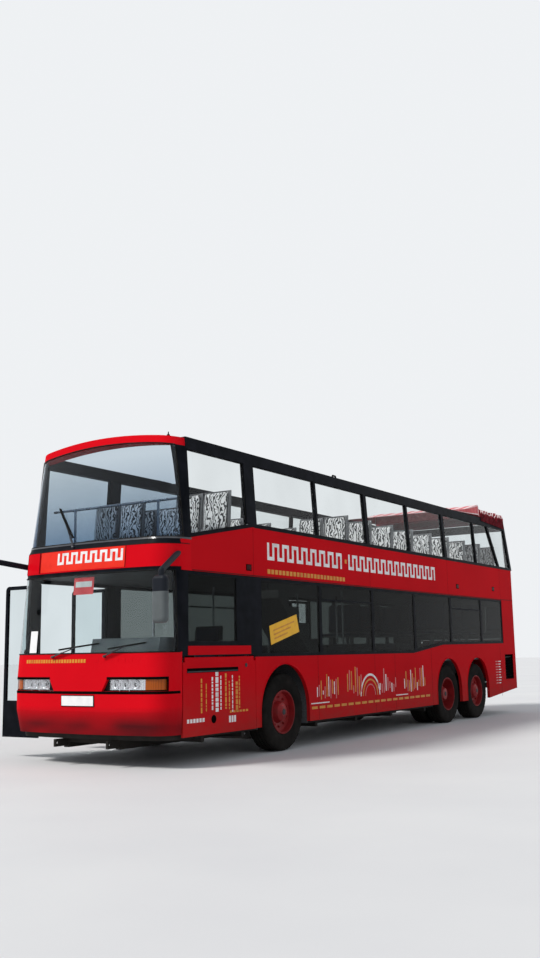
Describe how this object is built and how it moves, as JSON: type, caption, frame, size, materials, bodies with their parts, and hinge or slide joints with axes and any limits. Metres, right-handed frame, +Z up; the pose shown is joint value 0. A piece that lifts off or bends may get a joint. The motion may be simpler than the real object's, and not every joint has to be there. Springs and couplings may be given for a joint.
{
  "type": "open top double decker bus",
  "caption": "Three-axle double decker bus with an open upper deck, a folded fabric roof at the rear, low floor doors on the right and steered front wheels.",
  "frame": {"origin": "on the ground, in the middle of the length and width of the body", "axes": "+Z up, the front faces -Y, the driver's side is +X and the doors are on -X"},
  "size_m": [3.323, 12.375, 4.1992],
  "materials": {
    "body_red": "gloss red paint",
    "frame_black": "satin black paint",
    "chassis_black": "dull black chassis paint",
    "window_glass": "lightly tinted glass",
    "screen_glass": "blue tinted screen",
    "tyre_rubber": "worn tyre rubber",
    "rim_red": "red painted steel wheels",
    "axle_grey": "dull cast metal",
    "floor_grey": "grey speckled floor covering",
    "seat_fabric": "black and white seat covers",
    "seat_frame_grey": "grey painted tube",
    "dash_plastic": "dark grey moulded plastic",
    "trim_plastic": "black moulded plastic",
    "rail_steel": "brushed steel tube",
    "lamp_clear": "clear ribbed lens",
    "lamp_red": "red lens",
    "canopy_fabric": "folded red and white fabric"
  },
  "bodies": {
    "bus": {"underframe": "chassis_black", "lower_floor": "floor_grey", "upper_floor": "floor_grey", "stairs": "floor_grey", "side_wall_left": "body_red", "side_wall_right": "body_red", "deck_band": "body_red", "window_frames": "frame_black", "upper_frame": "frame_black", "rear_wall": "body_red", "front_mask": "body_red", "front_bumper": "body_red", "front_band": "body_red", "roof_visor": "body_red", "lower_windscreen": "window_glass", "upper_windscreen": "screen_glass", "lower_glass": "window_glass", "upper_glass": "window_glass", "lamp_housings": "trim_plastic", "head_lamps": "lamp_clear", "tail_lamps": "lamp_red", "dashboard": "dash_plastic", "driver_seat": "seat_fabric", "lower_seats": "seat_fabric", "upper_seats": "seat_fabric", "seat_frames": "seat_frame_grey", "handrails": "rail_steel", "mirrors": "trim_plastic", "wipers": "trim_plastic", "folded_canopy": "canopy_fabric", "engine": "axle_grey", "front_axle": "axle_grey", "drive_axle": "axle_grey", "tag_axle": "axle_grey"},
    "knuckle_left": {"knuckle_left": "axle_grey"},
    "front_wheel_left": {"front_rim_left": "rim_red", "front_tyre_left": "tyre_rubber"},
    "drive_wheel_left": {"drive_rim_left": "rim_red", "drive_tyres_left": "tyre_rubber"},
    "tag_wheel_left": {"tag_rim_left": "rim_red", "tag_tyre_left": "tyre_rubber"},
    "knuckle_right": {"knuckle_right": "axle_grey"},
    "front_wheel_right": {"front_rim_right": "rim_red", "front_tyre_right": "tyre_rubber"},
    "drive_wheel_right": {"drive_rim_right": "rim_red", "drive_tyres_right": "tyre_rubber"},
    "tag_wheel_right": {"tag_rim_right": "rim_red", "tag_tyre_right": "tyre_rubber"},
    "steering_wheel": {"steering_wheel": "trim_plastic"},
    "front_door_fore": {"front_door_fore": "trim_plastic"},
    "front_door_aft": {"front_door_aft": "trim_plastic"},
    "middle_door_fore": {"middle_door_fore": "trim_plastic"},
    "middle_door_aft": {"middle_door_aft": "trim_plastic"},
    "service_flap": {"service_flap": "body_red"},
    "engine_flap": {"engine_flap": "body_red"}
  },
  "joints": [
    {"name": "steer_left", "type": "hinge", "parent": "bus", "child": "knuckle_left", "pos_m": [0.93, -3.28, 0.51], "axis": [0, 0, 1], "range_deg": [-40, 40]},
    {"name": "front_wheel_left_spin", "type": "hinge", "parent": "knuckle_left", "child": "front_wheel_left", "pos_m": [1.07, -3.28, 0.51], "axis": [1, 0, 0], "continuous": true},
    {"name": "drive_wheel_left_spin", "type": "hinge", "parent": "bus", "child": "drive_wheel_left", "pos_m": [1.07, 2.33, 0.51], "axis": [1, 0, 0], "continuous": true},
    {"name": "tag_wheel_left_spin", "type": "hinge", "parent": "bus", "child": "tag_wheel_left", "pos_m": [1.07, 3.72, 0.51], "axis": [1, 0, 0], "continuous": true},
    {"name": "steer_right", "type": "hinge", "parent": "bus", "child": "knuckle_right", "pos_m": [-0.93, -3.28, 0.51], "axis": [0, 0, 1], "range_deg": [-40, 40]},
    {"name": "front_wheel_right_spin", "type": "hinge", "parent": "knuckle_right", "child": "front_wheel_right", "pos_m": [-1.07, -3.28, 0.51], "axis": [1, 0, 0], "continuous": true},
    {"name": "drive_wheel_right_spin", "type": "hinge", "parent": "bus", "child": "drive_wheel_right", "pos_m": [-1.07, 2.33, 0.51], "axis": [1, 0, 0], "continuous": true},
    {"name": "tag_wheel_right_spin", "type": "hinge", "parent": "bus", "child": "tag_wheel_right", "pos_m": [-1.07, 3.72, 0.51], "axis": [1, 0, 0], "continuous": true},
    {"name": "steering_wheel_turn", "type": "hinge", "parent": "bus", "child": "steering_wheel", "pos_m": [0.69, -5.13, 1.39], "axis": [0, 0.4226, 0.9063], "range_deg": [-600, 600]},
    {"name": "front_door_fore_hinge", "type": "hinge", "parent": "bus", "child": "front_door_fore", "pos_m": [-1.232, -5.416, 1.25], "axis": [0, 0, 1], "range_deg": [-90, 0]},
    {"name": "front_door_aft_hinge", "type": "hinge", "parent": "bus", "child": "front_door_aft", "pos_m": [-1.232, -4.144, 1.25], "axis": [0, 0, 1], "range_deg": [0, 90]},
    {"name": "middle_door_fore_hinge", "type": "hinge", "parent": "bus", "child": "middle_door_fore", "pos_m": [-1.232, 0.244, 1.25], "axis": [0, 0, 1], "range_deg": [0, 90]},
    {"name": "middle_door_aft_hinge", "type": "hinge", "parent": "bus", "child": "middle_door_aft", "pos_m": [-1.232, 1.516, 1.25], "axis": [0, 0, 1], "range_deg": [-90, 0]},
    {"name": "service_flap_hinge", "type": "hinge", "parent": "bus", "child": "service_flap", "pos_m": [1.235, -4.78, 1.247], "axis": [0, 1, 0], "range_deg": [-80, 0]},
    {"name": "engine_flap_hinge", "type": "hinge", "parent": "bus", "child": "engine_flap", "pos_m": [0, 5.985, 1.485], "axis": [1, 0, 0], "range_deg": [0, 80]}
  ],
  "couplings": [
    {"joint": "steer_right", "follows": "steer_left", "ratio": 1},
    {"joint": "steering_wheel_turn", "follows": "steer_left", "ratio": 15}
  ]
}
